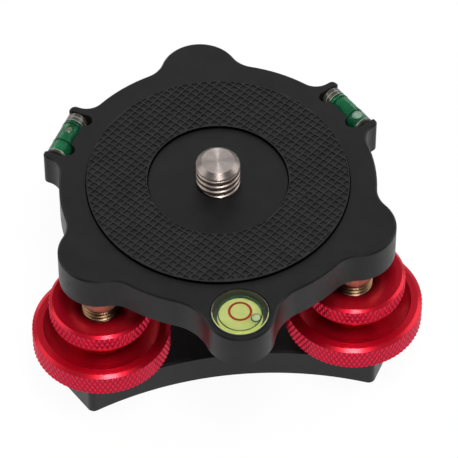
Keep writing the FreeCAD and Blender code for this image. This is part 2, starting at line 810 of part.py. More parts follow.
def round_level():
    """Bull's-eye level: clear body, coloured backing, liquid, bubble and target ring."""
    middle = Vector(0, -dims.level_circle.value, 0)
    bubble_reach = 3.45
    bubble_turn = math.radians(-24)
    bubble_at = Vector(bubble_reach * math.cos(bubble_turn), bubble_reach * math.sin(bubble_turn),
                       dims.cell_high.value - 0.62)
    parts = []
    shell = cylinder("level_shell", dims.vial_radius, dims.vial_low, dims.vial_high)
    cell = cylinder("level_cell", dims.cell_radius, dims.cell_low, dims.cell_high)
    parts.append(cut("round_level_body", shell, cell))

    backing = cylinder("round_level_backing", dims.vial_radius - 0.05, dims.level_floor,
                       dims.vial_low)
    backing.Label = "round_level_backing"
    parts.append(backing)

    fill = cylinder("level_fill", dims.cell_radius, dims.cell_low, dims.cell_high)
    void = bubble("level_void", bubble_at, 1.15, 1.15, 0.6)
    parts.append(cut("round_level_liquid", fill, void))
    gas = bubble("round_level_bubble", bubble_at, 1.15, 1.15, 0.6)
    gas.Label = "round_level_bubble"
    parts.append(gas)

    target = cylinder("target_disc", dims.target_outer, dims.vial_high,
                      dims.vial_high + dims.target_skin)
    centre = cylinder("target_centre", dims.target_inner, dims.vial_high,
                      dims.vial_high + dims.target_skin)
    parts.append(cut("round_level_target", target, centre))
    for item in parts:
        item.Placement = Placement(middle, Rotation()).multiply(item.Placement)
    return parts


def lying(name, radius, length, offset=0.0):
    """Cylinder along Y with its middle at offset."""
    item = doc.addObject("Part::Cylinder", name)
    bind(item, "Radius", radius)
    bind(item, "Height", length)
    start = offset - as_size(length).value / 2
    item.Placement = Placement(Vector(0, start, 0), Rotation(Vector(1, 0, 0), -90))
    return item


def tube_level(side):
    """Tube level: clear tube, liquid, bubble and two lines round the tube."""
    parts = []
    forward = 1 if side == "left" else -1
    cell_shift = forward * dims.tube_cell_shift.value
    tube = lying("tube_" + side, dims.tube_radius, dims.tube_length,
                 -forward * dims.tube_shift.value)
    cell = lying("tube_cell_" + side, dims.tube_hollow, dims.tube_cell, cell_shift)
    parts.append(cut("tube_level_" + side, tube, cell))

    place = Vector(0, TUBE_BUBBLES[side], dims.tube_hollow.value - 0.85)
    fill = lying("tube_fill_" + side, dims.tube_hollow, dims.tube_cell, cell_shift)
    void = bubble("tube_void_" + side, place, 1.0, 1.3, 0.8)
    parts.append(cut("tube_liquid_" + side, fill, void))
    gas = bubble("tube_bubble_" + side, place, 1.0, 1.3, 0.8)
    gas.Label = "tube_bubble_" + side
    parts.append(gas)

    lines = []
    for sign, word in ((-1, "first"), (1, "second")):
        shift = sign * dims.tube_line_gap.value / 2 - forward * dims.tube_line_shift.value
        outer = lying("line_%s_%s" % (word, side), dims.tube_radius + dims.tube_line_skin,
                      dims.tube_line_width, shift)
        inner = lying("line_core_%s_%s" % (word, side), dims.tube_radius, dims.tube_line_width,
                      shift)
        lines.append(cut("line_ring_%s_%s" % (word, side), outer, inner))
    pair = doc.addObject("Part::Compound", "tube_lines_" + side)
    pair.Links = lines
    pair.Label = "tube_lines_" + side
    parts.append(pair)

    turn = Rotation(Vector(0, 0, 1), TUBES[side])
    centre = turn.multVec(Vector(dims.tube_circle.value, 0, dims.tube_height.value))
    for item in parts:
        item.Placement = Placement(centre, turn).multiply(item.Placement)
    return parts


def build():
    fill_sheet()
    parts = [base_plate(), socket_insert()]
    for name in STUDS:
        parts += [guide_bush(name), guide_key(name), retaining_clip(name), thrust_washer(name)]
        parts += [adjusting_wheel(name), friction_washer(name), lock_wheel(name)]
        parts += [leveling_stud(name), ball_cup(name), retainer_ring(name)]
    parts += [top_plate(), grip_pad(), camera_screw()]
    parts += round_level()
    for side in TUBES:
        parts += tube_level(side)
    doc.recompute()
    return parts


def check(parts):
    for item in doc.Objects:
        if "Invalid" in item.State or "Error" in item.State:
            raise RuntimeError("failed: %s %s" % (item.Name, item.State))
    for item in parts:
        if item.Shape.isNull() or not item.Shape.isValid():
            raise RuntimeError("bad shape: " + item.Label)


def export(parts):
    os.makedirs("parts", exist_ok=True)
    for item in parts:
        item.Shape.exportStep("parts/%s.step" % item.Label)
        print("%-26s %10.3f mm3  %d solid(s)" % (item.Label, item.Shape.Volume,
                                                len(item.Shape.Solids)))


all_parts = build()
check(all_parts)
export(all_parts)
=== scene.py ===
import math

import bmesh
import bpy
from mathutils import Matrix, Vector
from mathutils.geometry import delaunay_2d_cdt


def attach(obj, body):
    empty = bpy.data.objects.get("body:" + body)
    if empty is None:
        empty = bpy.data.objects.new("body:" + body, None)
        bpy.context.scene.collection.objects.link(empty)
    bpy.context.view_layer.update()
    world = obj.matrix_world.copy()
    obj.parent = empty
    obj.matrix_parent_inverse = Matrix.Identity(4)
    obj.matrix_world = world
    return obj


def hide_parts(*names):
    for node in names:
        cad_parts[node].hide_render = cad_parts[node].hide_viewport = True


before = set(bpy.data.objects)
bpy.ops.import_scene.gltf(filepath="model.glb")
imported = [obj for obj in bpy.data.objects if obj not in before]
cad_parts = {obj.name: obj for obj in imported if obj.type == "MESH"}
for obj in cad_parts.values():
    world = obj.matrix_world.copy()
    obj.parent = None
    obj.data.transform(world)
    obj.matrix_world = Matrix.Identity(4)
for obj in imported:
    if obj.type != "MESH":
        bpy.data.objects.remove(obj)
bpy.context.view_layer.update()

# Shapes and the camera's place are in millimetres. Lamps, the scale of noise and the height of
# bumps are in metres, as in the finished meshes. Angles are given in degrees.
MM = 0.001

STUD_ANGLES = {"back": 90, "left": 210, "right": 330}
STUD_CIRCLE = 31.4
STUD_RADIUS = 3.98
STUD_THREAD_DEPTH = 0.5
STUD_PITCH = 1.0
WHEEL_BORE = 4.06

ADJUSTING_RADIUS = 14.89
LOCK_RADIUS = 10.98
KNURL_DEPTH = 0.2
POINTS_PER_TOOTH = 4
WHEEL_SHARP = 18

CAMERA_THREAD_RADIUS = 4.72
CAMERA_THREAD_DEPTH = 0.6
CAMERA_PITCH = 1.5875
THREAD_SIDES = 96

TUBE_ANGLES = {"left": 150, "right": 30}
TUBE_CIRCLE = 35.3
TUBE_HEIGHT = 42.65
LEVEL_CENTRE = (0.0, -35.7, 0.0)

LATTICE_PITCH = 1.477
LATTICE_TURN = 43.7
LATTICE_SHIFT = (0.88, 0.06)

# points closer than this are taken as one
MERGE = 1e-4

FINE_GRAIN = 0.00003
RUBBER_GRAIN = 0.00004

PHOTO_WIDTH = 458
SENSOR_WIDTH = 36
LAMP_TARGET = (0, 0, 0.03)


# Mesh building


def piece(name, bm, at=(0, 0, 0), turned=0.0, sharp=32):
    """Makes an object from a bmesh in millimetres, standing at a point and turned about Z.

    Edges where faces meet at more than sharp degrees look sharp, and the others smooth.
    """
    bmesh.ops.recalc_face_normals(bm, faces=bm.faces)
    bmesh.ops.scale(bm, vec=(MM, MM, MM), verts=bm.verts)
    mesh = bpy.data.meshes.new(name)
    bm.to_mesh(mesh)
    bm.free()
    for polygon in mesh.polygons:
        polygon.use_smooth = True
    mesh.set_sharp_from_angle(angle=math.radians(sharp))
    item = bpy.data.objects.new(name, mesh)
    bpy.context.scene.collection.objects.link(item)
    item.location = Vector(at) * MM
    item.rotation_euler = (0, 0, math.radians(turned))
    return item


def fit(item, body, node, *materials):
    """Lets a piece stand for a node, which it hides, ride on its body and take the given
    materials.
    """
    for material in materials:
        item.data.materials.append(material)
    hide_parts(node)
    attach(item, body)


def ring_points(bm, radius, height, count):
    """Points of a circle about Z; on the axis it is one point, given count times."""
    if radius < 1e-6:
        return [bm.verts.new((0, 0, height))] * count
    step = 2 * math.pi / count
    return [bm.verts.new((radius * math.cos(step * i), radius * math.sin(step * i), height))
            for i in range(count)]


def skin(bm, lower, upper, material=0):
    """Joins two rings of points with faces."""
    count = len(lower)
    for i in range(count):
        corners = [lower[i], lower[(i + 1) % count], upper[(i + 1) % count], upper[i]]
        distinct = list(dict.fromkeys(corners))
        if len(distinct) > 2:
            bm.faces.new(distinct).material_index = material


def turn_profile(bm, profile, count, closed):
    """Turns (radius, height) points about Z; a closed profile makes a ring."""
    rings = [ring_points(bm, radius, height, count) for radius, height in profile]
    for lower, upper in zip(rings, rings[1:]):
        skin(bm, lower, upper)
    if closed:
        skin(bm, rings[-1], rings[0])
    return rings


def lathe(profile, count, closed):
    """Turned shape of one material."""
    bm = bmesh.new()
    turn_profile(bm, profile, count, closed)
    return bm


def banded_lathe(profile, count, slots):
    """Turned solid with a material slot for each stretch of its profile."""
    bm = bmesh.new()
    rings = [ring_points(bm, radius, height, count) for radius, height in profile]
    for lower, upper, slot in zip(rings, rings[1:], slots):
        skin(bm, lower, upper, slot)
    return bm


def groove_share(place):
    """0 on a ridge and 1 in a groove, for a distance counted in teeth."""
    return 1 - 2 * abs(place - round(place))


def knurled(inside, teeth, radius, low, high, rows, low_slope, high_slope):
    """Ring whose outer band is knurled; inside is its profile from the band's top to its foot.

    Grooves run both ways, and each row of the band is one point further round. Where the band
    meets a bevel, the grooves run out on the bevel's own slope.
    """
    bm = bmesh.new()
    count = teeth * POINTS_PER_TOOTH
    flat = 0.16
    band = []
    for row in range(rows + 1):
        ring = []
        for i in range(count):
            share = max(groove_share((i + row) / POINTS_PER_TOOTH),
                        groove_share((i - row) / POINTS_PER_TOOTH))
            cut = KNURL_DEPTH * max(0.0, share - flat) / (1 - flat)
            height = low + (high - low) * row / rows
            if row == 0:
                height -= cut * low_slope
            if row == rows:
                height += cut * high_slope
            angle = 2 * math.pi * i / count
            spot = ((radius - cut) * math.cos(angle), (radius - cut) * math.sin(angle), height)
            ring.append(bm.verts.new(spot))
        band.append(ring)
    for row in range(rows):
        for i in range(count):
            a, b = band[row][i], band[row][(i + 1) % count]
            c, d = band[row + 1][(i + 1) % count], band[row + 1][i]
            if (i - row) % POINTS_PER_TOOTH == 0 or (i + row) % POINTS_PER_TOOTH == 1:
                halves = ((a, b, c), (a, c, d))
            else:
                halves = ((a, b, d), (b, c, d))
            for corners in halves:
                bm.faces.new(corners).material_index = 1
    rings = [ring_points(bm, r, z, count) for r, z in inside]
    skin(bm, band[-1], rings[0])
    for lower, upper in zip(rings, rings[1:]):
        skin(bm, lower, upper)
    skin(bm, rings[-1], band[0])
    return bm


def thread_share(place, crest, root):
    """Depth of a thread, from 0 on its crest to 1 at its root, for a distance in turns."""
    flank = (1 - crest - root) / 2
    away = abs((place + 0.5) % 1 - 0.5)
    return min(1.0, max(0.0, (away - crest / 2) / flank))


def helix_skin(bm, turns, steps, spot):
    """Skin of a right-hand thread, one pitch higher after each time round.

    spot(around, along) gives a point's radius and height. Both arguments count in turns, and
    along starts again at the same place of the thread's profile with every whole turn.
    """
    columns = []
    for i in range(THREAD_SIDES):
        angle = 2 * math.pi * i / THREAD_SIDES
        column = []
        for j in range(turns * steps + 1):
            wide, height = spot(i / THREAD_SIDES, j / steps)
            column.append(bm.verts.new((wide * math.cos(angle), wide * math.sin(angle), height)))
        columns.append(column)
    for i in range(THREAD_SIDES):
        shift = steps if i == THREAD_SIDES - 1 else 0
        following = columns[(i + 1) % THREAD_SIDES]
        for j in range(turns * steps - shift):
            bm.faces.new((columns[i][j], following[j + shift], following[j + shift + 1],
                          columns[i][j + 1]))


def threaded(radius, depth, pitch, low, high, crest, root, steps, limit=None):
    """Solid right-hand thread between two heights; limit(height, radius) can narrow it."""
    bm = bmesh.new()
    turns = int(math.ceil((high - low) / pitch)) + 4
    start = low - 2 * pitch

    def spot(around, along):
        height = start + pitch * (around + along)
        wide = radius - depth * thread_share(along, crest, root)
        if limit:
            wide = limit(height, wide)
        return wide, height

    helix_skin(bm, turns, steps, spot)
    for height, normal in ((low, (0, 0, -1)), (high, (0, 0, 1))):
        everything = list(bm.verts) + list(bm.edges) + list(bm.faces)
        bmesh.ops.bisect_plane(bm, geom=everything, dist=MERGE / 10, plane_co=(0, 0, height),
                               plane_no=normal, clear_outer=True)
        rim = [edge for edge in bm.edges if edge.is_boundary
               and all(abs(v.co.z - height) < MERGE for v in edge.verts)]
        bmesh.ops.edgeloop_fill(bm, edges=rim)
    loose = [v for v in bm.verts if not v.link_faces]
    bmesh.ops.delete(bm, geom=loose, context="VERTS")
    return bm


def tapped_ring(radius, depth, pitch, outer, low, high):
    """Ring with a right-hand thread in its bore and a bevel at both mouths of the bore."""
    bm = bmesh.new()
    steps, edge, flat = 12, 0.2, 0.3
    turns = int(math.ceil((high - low) / pitch)) + 3

    def spot(around, along):
        height = low + pitch * (around + along - 1.5)
        height = min(high, max(low, height))
        mouth = radius - min(height - low, high - height)
        ridge = radius - depth * (1 - thread_share(along, flat, flat))
        return max(mouth, ridge), height

    helix_skin(bm, turns, steps, spot)
    profile = [(radius, high), (outer - edge, high), (outer, high - edge), (outer, low + edge),
               (outer - edge, low), (radius, low)]
    turn_profile(bm, profile, THREAD_SIDES, closed=False)
    bmesh.ops.remove_doubles(bm, verts=bm.verts, dist=MERGE)
    return bm


def join(target, extra):
    """Adds a bmesh's geometry to another one."""
    mesh = bpy.data.meshes.new("joint")
    extra.to_mesh(mesh)
    extra.free()
    target.from_mesh(mesh)
    bpy.data.meshes.remove(mesh)


# Materials


def new_material(name):
    """Material with its node tree and its main shader."""
    material = bpy.data.materials.new(name)
    material.use_nodes = True
    tree = material.node_tree
    shader = tree.nodes["Principled BSDF"]
    return material, tree, shader


def noise(tree, scale, detail):
    """Noise that stays with the object, with about scale patches to the metre."""
    place = tree.nodes.new("ShaderNodeTexCoord")
    texture = tree.nodes.new("ShaderNodeTexNoise")
    texture.inputs["Scale"].default_value = scale
    texture.inputs["Detail"].default_value = detail
    tree.links.new(place.outputs["Object"], texture.inputs["Vector"])
    return texture.outputs["Fac"]


def ramp(tree, value, low, high, start=0.3, end=0.7):
    """Colour between low and high as value goes from start to end."""
    node = tree.nodes.new("ShaderNodeValToRGB")
    node.color_ramp.elements[0].position = start
    node.color_ramp.elements[1].position = end
    node.color_ramp.elements[0].color = (*low, 1)
    node.color_ramp.elements[1].color = (*high, 1)
    tree.links.new(value, node.inputs["Fac"])
    return node.outputs["Color"]


def spread(tree, value, low, high, start=0.3, end=0.7):
    """Number between low and high as value goes from start to end."""
    node = tree.nodes.new("ShaderNodeMapRange")
    node.inputs["From Min"].default_value = start
    node.inputs["From Max"].default_value = end
    node.inputs["To Min"].default_value = low
    node.inputs["To Max"].default_value = high
    tree.links.new(value, node.inputs["Value"])
    return node.outputs["Result"]


def bump(tree, shader, value, strength, distance=FINE_GRAIN):
    """Fine relief that follows value."""
    node = tree.nodes.new("ShaderNodeBump")
    node.inputs["Strength"].default_value = strength
    node.inputs["Distance"].default_value = distance
    tree.links.new(value, node.inputs["Height"])
    tree.links.new(node.outputs["Normal"], shader.inputs["Normal"])


def radius_and_height(tree):
    """Distance from the object's own Z axis, and height along it."""
    place = tree.nodes.new("ShaderNodeTexCoord")
    split = tree.nodes.new("ShaderNodeSeparateXYZ")
    flat = tree.nodes.new("ShaderNodeCombineXYZ")
    length = tree.nodes.new("ShaderNodeVectorMath")
    length.operation = "LENGTH"
    tree.links.new(place.outputs["Object"], split.inputs["Vector"])
    tree.links.new(split.outputs["X"], flat.inputs["X"])
    tree.links.new(split.outputs["Y"], flat.inputs["Y"])
    tree.links.new(flat.outputs["Vector"], length.inputs[0])
    return length.outputs["Value"], split.outputs["Z"]


def turning_rings(tree, scale):
    """Fine rings about the object's own Z axis, as a lathe leaves them."""
    radius, height = radius_and_height(tree)
    joined = tree.nodes.new("ShaderNodeCombineXYZ")
    texture = tree.nodes.new("ShaderNodeTexNoise")
    texture.inputs["Scale"].default_value = scale
    texture.inputs["Detail"].default_value = 3.0
    tree.links.new(radius, joined.inputs["X"])
    tree.links.new(height, joined.inputs["Y"])
    tree.links.new(joined.outputs["Vector"], texture.inputs["Vector"])
    return texture.outputs["Fac"]


def anodised_black(name, specular):
    """Bead-blasted aluminium with a black anodised skin."""
    material, tree, shader = new_material(name)
    tone = ramp(tree, noise(tree, 260, 3), (0.005, 0.005, 0.0054), (0.0072, 0.0072, 0.0078))
    tree.links.new(tone, shader.inputs["Base Color"])
    gloss = spread(tree, noise(tree, 900, 2), 0.35, 0.43)
    tree.links.new(gloss, shader.inputs["Roughness"])
    shader.inputs["Specular IOR Level"].default_value = specular
    bump(tree, shader, noise(tree, 5200, 2), 0.12)
    return material


def turned_sheen(tree, shader, amount):
    """Sheen drawn out across the turning marks."""
    shader.inputs["Anisotropic"].default_value = amount
    shader.inputs["Anisotropic Rotation"].default_value = 0.25
    tangent = tree.nodes.new("ShaderNodeTangent")
    tangent.direction_type = "RADIAL"
    tangent.axis = "Z"
    tree.links.new(tangent.outputs["Tangent"], shader.inputs["Tangent"])


def anodised_red():
    """Turned aluminium with a bright red anodised skin."""
    material, tree, shader = new_material("anodised_red")
    rings = turning_rings(tree, 4200)
    tone = ramp(tree, rings, (0.50, 0.0008, 0.012), (0.60, 0.0016, 0.022))
    tree.links.new(tone, shader.inputs["Base Color"])
    shader.inputs["Metallic"].default_value = 0.8
    shader.inputs["Specular IOR Level"].default_value = 0.3
    gloss = spread(tree, rings, 0.34, 0.44)
    tree.links.new(gloss, shader.inputs["Roughness"])
    shader.inputs["Coat Weight"].default_value = 0.25
    shader.inputs["Coat Roughness"].default_value = 0.18
    turned_sheen(tree, shader, 0.7)
    bump(tree, shader, rings, 0.06)
    return material


def shaded_grooves(tree, radius, depth, groove, ridge):
    """Colour with painted shade: dark in cut grooves and a little lighter on the ridges."""
    reach = radius_and_height(tree)[0]
    share = spread(tree, reach, 0.0, 1.0, (radius - depth) * MM, radius * MM)
    return ramp(tree, share, groove, ridge, 0.0, 0.9)


def anodised_red_knurl(name, radius):
    """The same red on a knurl of this radius, with painted shade in the knurl's grooves."""
    material, tree, shader = new_material(name)
    tone = shaded_grooves(tree, radius, KNURL_DEPTH, (0.30, 0.001, 0.012), (0.78, 0.009, 0.06))
    tree.links.new(tone, shader.inputs["Base Color"])
    shader.inputs["Metallic"].default_value = 0.85
    shader.inputs["Specular IOR Level"].default_value = 0.2
    shader.inputs["Specular Tint"].default_value = (1, 0.55, 0.6, 1)
    tree.links.new(spread(tree, noise(tree, 1500, 2), 0.3, 0.4), shader.inputs["Roughness"])
    shader.inputs["Coat Weight"].default_value = 0.16
    shader.inputs["Coat Roughness"].default_value = 0.12
    bump(tree, shader, noise(tree, 7000, 2), 0.1)
    return material


def cut_thread(name, radius, depth, groove, ridge, rough):
    """Bare metal on a thread of this radius and depth, with painted shade in its grooves."""
    material, tree, shader = new_material(name)
    tone = shaded_grooves(tree, radius, depth, groove, ridge)
    tree.links.new(tone, shader.inputs["Base Color"])
    shader.inputs["Metallic"].default_value = 1.0
    tree.links.new(spread(tree, noise(tree, 1500, 2), rough, rough + 0.1),
                   shader.inputs["Roughness"])
    bump(tree, shader, noise(tree, 6000, 2), 0.1)
    return material


def turned_metal(name, low, high, rough, metallic=1.0, sheen=0.5):
    """Bare metal with the fine rings of a lathe."""
    material, tree, shader = new_material(name)
    rings = turning_rings(tree, 5000)
    tree.links.new(ramp(tree, rings, low, high), shader.inputs["Base Color"])
    tree.links.new(spread(tree, rings, rough, rough + 0.1), shader.inputs["Roughness"])
    shader.inputs["Metallic"].default_value = metallic
    turned_sheen(tree, shader, sheen)
    bump(tree, shader, rings, 0.08)
    return material


def rubber(name, low, high, specular):
    """Dull black rubber with a fine grain."""
    material, tree, shader = new_material(name)
    tone = ramp(tree, noise(tree, 300, 3), low, high)
    tree.links.new(tone, shader.inputs["Base Color"])
    tree.links.new(spread(tree, noise(tree, 1500, 2), 0.5, 0.68), shader.inputs["Roughness"])
    shader.inputs["Specular IOR Level"].default_value = specular
    bump(tree, shader, noise(tree, 6000, 3), 0.25, RUBBER_GRAIN)
    return material


def plastic(name, low, high, rough, specular=0.5):
    """Moulded plastic, ink or a painted surface."""
    material, tree, shader = new_material(name)
    shader.inputs["Specular IOR Level"].default_value = specular
    tree.links.new(ramp(tree, noise(tree, 400, 3), low, high), shader.inputs["Base Color"])
    tree.links.new(spread(tree, noise(tree, 1200, 2), rough, rough + 0.08),
                   shader.inputs["Roughness"])
    return material


def acrylic(name, shine):
    """Clear plastic; shine is the share of the usual reflection that it keeps."""
    material, tree, shader = new_material(name)
    shader.inputs["Base Color"].default_value = (0.93, 0.96, 0.93, 1)
    shader.inputs["Transmission Weight"].default_value = 1.0
    shader.inputs["IOR"].default_value = 1.49
    shader.inputs["Specular Tint"].default_value = (shine, shine, shine, 1)
    tree.links.new(spread(tree, noise(tree, 700, 2), 0.0, 0.03), shader.inputs["Roughness"])
    return material


def smoked(name, low, high):
    """Half-clear plastic that takes the colour of what is round it."""
    material, tree, shader = new_material(name)
    tree.links.new(ramp(tree, noise(tree, 500, 2), low, high), shader.inputs["Base Color"])
    shader.inputs["Transmission Weight"].default_value = 0.4
    shader.inputs["IOR"].default_value = 1.49
    tree.links.new(spread(tree, noise(tree, 900, 2), 0.08, 0.16), shader.inputs["Roughness"])
    return material


def glowing_painted_light(name, low, high, glow, rough=0.3):
    """Dyed liquid with emission in its own colour: painted light, though it is no lamp."""
    material, tree, shader = new_material(name)
    tone = ramp(tree, noise(tree, 260, 2), low, high)
    tree.links.new(tone, shader.inputs["Base Color"])
    # painted light: the liquid glows in its own colour
    tree.links.new(tone, shader.inputs["Emission Color"])
    shader.inputs["Emission Strength"].default_value = glow
    shader.inputs["Roughness"].default_value = rough
    shader.inputs["Specular IOR Level"].default_value = 0.1
    return material


def bubble_painted_light(name, rim, middle):
    """Air in a liquid, drawn with painted light: the colour runs from the middle to the rim as
    the face turns from the camera; the lime bubble is dark round its rim and light in the
    middle.
    """
    material, tree, shader = new_material(name)
    facing = tree.nodes.new("ShaderNodeLayerWeight")
    facing.inputs["Blend"].default_value = 0.4
    tree.links.new(ramp(tree, facing.outputs["Facing"], middle, rim, 0.3, 0.6),
                   shader.inputs["Base Color"])
    shader.inputs["Roughness"].default_value = 0.08
    shader.inputs["Coat Weight"].default_value = 0.6
    return material


BLACK = anodised_black("anodised_black_plate", 0.2)
BLACK_BASE = anodised_black("anodised_black_base", 0.24)
RED = anodised_red()
# Knurl reds: the groove colour is painted shade.
RED_KNURL_LARGE = anodised_red_knurl("anodised_red_knurl_large", ADJUSTING_RADIUS)
RED_KNURL_SMALL = anodised_red_knurl("anodised_red_knurl_small", LOCK_RADIUS)
COPPER = turned_metal("copper_stud", (0.34, 0.20, 0.12), (0.46, 0.28, 0.18), 0.26)
# The first, darker thread colour is painted shade in the grooves.
COPPER_THREAD = cut_thread("copper_thread", STUD_RADIUS, STUD_THREAD_DEPTH,
                           (0.02, 0.01, 0.005), (0.30, 0.18, 0.10), 0.3)
# The collar takes a lighter, less metallic copy of the stud's copper: painted light on its
# front.
COPPER_COLLAR_LIT = turned_metal("copper_collar_lit", (0.70, 0.43, 0.29), (0.82, 0.52, 0.37), 0.22,
                             metallic=0.42)
STEEL = turned_metal("stainless_steel", (0.20, 0.17, 0.155), (0.31, 0.265, 0.245), 0.3)
# The first, darker thread colour is painted shade in the grooves.
STEEL_THREAD = cut_thread("stainless_thread", CAMERA_THREAD_RADIUS, CAMERA_THREAD_DEPTH,
                          (0.12, 0.09, 0.07), (0.34, 0.28, 0.25), 0.36)
# The screw's end face takes a lighter copy of the steel: painted light on the face turned up to
# the lamps.
STEEL_FACE_LIT = turned_metal("stainless_end_face_lit", (0.38, 0.33, 0.31), (0.50, 0.44, 0.42), 0.34,
                          sheen=0.8)
SPRING = turned_metal("spring_steel", (0.25, 0.25, 0.26), (0.36, 0.36, 0.37), 0.3)
RUBBER = rubber("pad_rubber", (0.006, 0.006, 0.0063), (0.011, 0.011, 0.0115), 0.24)
# Near-black rubber for the walls of the gaps at the pad's rims: painted shade in the gaps.
RUBBER_EDGE_SHADE = rubber("pad_rubber_edge_shade", (0.0004, 0.0004, 0.0004), (0.001, 0.001, 0.001), 0.02)
SLIDE = plastic("bearing_plastic", (0.62, 0.6, 0.53), (0.7, 0.68, 0.61), 0.4)
DARK_PLASTIC = plastic("washer_plastic", (0.03, 0.03, 0.03), (0.045, 0.045, 0.045), 0.45)
CLEAR = acrylic("clear_acrylic", 0.7)
CLEAR_ROD = acrylic("clear_rod", 0.03)
# Dark plastic on the puck's side and the backing below it: painted shade of the recess round the
# puck.
PUCK_SIDE_SHADE = plastic("puck_side_shade", (0.022, 0.022, 0.022), (0.05, 0.05, 0.048), 0.3)
LIME = glowing_painted_light("lime_liquid", (0.56, 0.61, 0.18), (0.64, 0.69, 0.24), 0.14)
# The cup's outer wall glows more than its top: painted light on the band seen through the puck.
LIME_SIDE_LIT = glowing_painted_light("lime_liquid_side_lit", (0.54, 0.60, 0.13), (0.60, 0.66, 0.17), 0.75)
# Dark green on the cup's wall above the lime and on the bubble's steep sides: painted shade.
DARK_GREEN_SHADE = glowing_painted_light("dark_green_wall_shade", (0.006, 0.05, 0.018), (0.012, 0.08, 0.03), 0.05, 0.4)
GREEN = glowing_painted_light("green_liquid", (0.002, 0.07, 0.026), (0.008, 0.14, 0.055), 0.08, 0.6)
PLUG = smoked("tube_plug", (0.05, 0.045, 0.035), (0.08, 0.075, 0.06))
# Pale bands on the puck's top edge and on the tube plugs: painted highlight.
PALE_EDGE_HIGHLIGHT = plastic("pale_edge_highlight", (0.2, 0.22, 0.18), (0.32, 0.34, 0.28), 0.3)
RING_INK = plastic("ring_ink", (0.18, 0.012, 0.002), (0.25, 0.02, 0.004), 0.4, 0.1)
LINE_INK = plastic("line_ink", (0.0005, 0.004, 0.002), (0.001, 0.008, 0.004), 0.5, 0.04)
# Bubble colours are painted light: a dark rim round a light middle in the round level, light
# rims round darker middles in the tubes.
LIME_AIR = bubble_painted_light("lime_bubble", (0.01, 0.06, 0.015), (0.55, 0.64, 0.32))
TUBE_AIR = {"left": bubble_painted_light("green_bubble_left", (0.8, 0.85, 0.45), (0.02, 0.06, 0.02)),
            "right": bubble_painted_light("green_bubble_right", (0.85, 0.85, 0.8), (0.22, 0.32, 0.26))}


def paint(node, material):
    """Gives a node that stays as it is a worked-out material."""
    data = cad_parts[node].data
    data.materials.clear()
    data.materials.append(material)


def paint_frame():
    """Materials of the base, the platform and the hidden pieces, which stay as they are."""
    paint("base_plate", BLACK_BASE)
    paint("top_plate", BLACK)
    for name in STUD_ANGLES:
        paint("guide_bush_" + name, COPPER)
        paint("guide_key_" + name, STEEL)
        paint("retaining_clip_" + name, SPRING)
        paint("thrust_washer_" + name, SLIDE)
        paint("friction_washer_" + name, DARK_PLASTIC)
        paint("ball_cup_" + name, SLIDE)
        paint("retainer_ring_" + name, COPPER)


# Wheels and studs


def stud_place(name):
    """Where a stud's axis meets the base's underside."""
    angle = math.radians(STUD_ANGLES[name])
    return (STUD_CIRCLE * math.cos(angle), STUD_CIRCLE * math.sin(angle), 0)


def adjusting_wheel(name):
    """Large wheel: knurled rim, dish with a hub in it, bore, clip groove and lower skirt."""
    rim_top = 20.55
    hub_top = 20.3
    bore_end = 14.5
    dish = [(13.9, rim_top), (12.45, rim_top), (11.95, rim_top - 0.9), (11.4, 19.26),
            (10.85, 18.9), (9.9, 18.5), (9.05, 18.2), (8.0, 18.02), (6.3, 18.0), (6.15, 18.15)]
    hub = [(6.15, hub_top - 0.2), (5.95, hub_top), (WHEEL_BORE, hub_top), (WHEEL_BORE, bore_end)]
    clip_groove = [(6.25, bore_end), (6.25, 11.1), (6.8, 11.1), (6.8, 10.1), (6.25, 10.1)]
    skirt = [(6.25, 8.6), (8.0, 8.6), (8.4, 9.0), (8.4, 14.65), (8.55, 14.8), (13.9, 14.8)]
    bm = knurled(dish + hub + clip_groove + skirt, teeth=85, radius=ADJUSTING_RADIUS, low=15.3,
                 high=20.05, rows=9, low_slope=0.5, high_slope=0.5)
    item = piece("adjusting_wheel_knurled_" + name, bm, stud_place(name), sharp=WHEEL_SHARP)
    fit(item, "adjuster_" + name, "adjusting_wheel_" + name, RED, RED_KNURL_LARGE)


def lock_wheel(name):
    """Small wheel: knurled rim, curved dish, bore, recess for the washer and lower hub."""
    washer_top = 21.1
    hub_low = 20.8
    dish = [(10.2, 29.15), (9.4, 29.07), (8.6, 28.93), (7.8, 28.71), (7.0, 28.39), (6.2, 27.97),
            (5.4, 27.43), (WHEEL_BORE + 0.5, 26.6)]
    bore = [(WHEEL_BORE, 26.1), (WHEEL_BORE, washer_top)]
    recess = [(6.4, washer_top), (6.4, hub_low)]
    hub = [(7.1, hub_low), (7.4, 21.1), (7.4, 24.2), (10.3, 24.2), (10.6, 24.5), (10.6, 25.3)]
    bm = knurled(dish + bore + recess + hub, teeth=61, radius=LOCK_RADIUS, low=25.5, high=28.6,
                 rows=5, low_slope=0.5, high_slope=0.7)
    item = piece("lock_wheel_knurled_" + name, bm, stud_place(name), sharp=WHEEL_SHARP)
    fit(item, "lock_" + name, "lock_wheel_" + name, RED, RED_KNURL_SMALL)


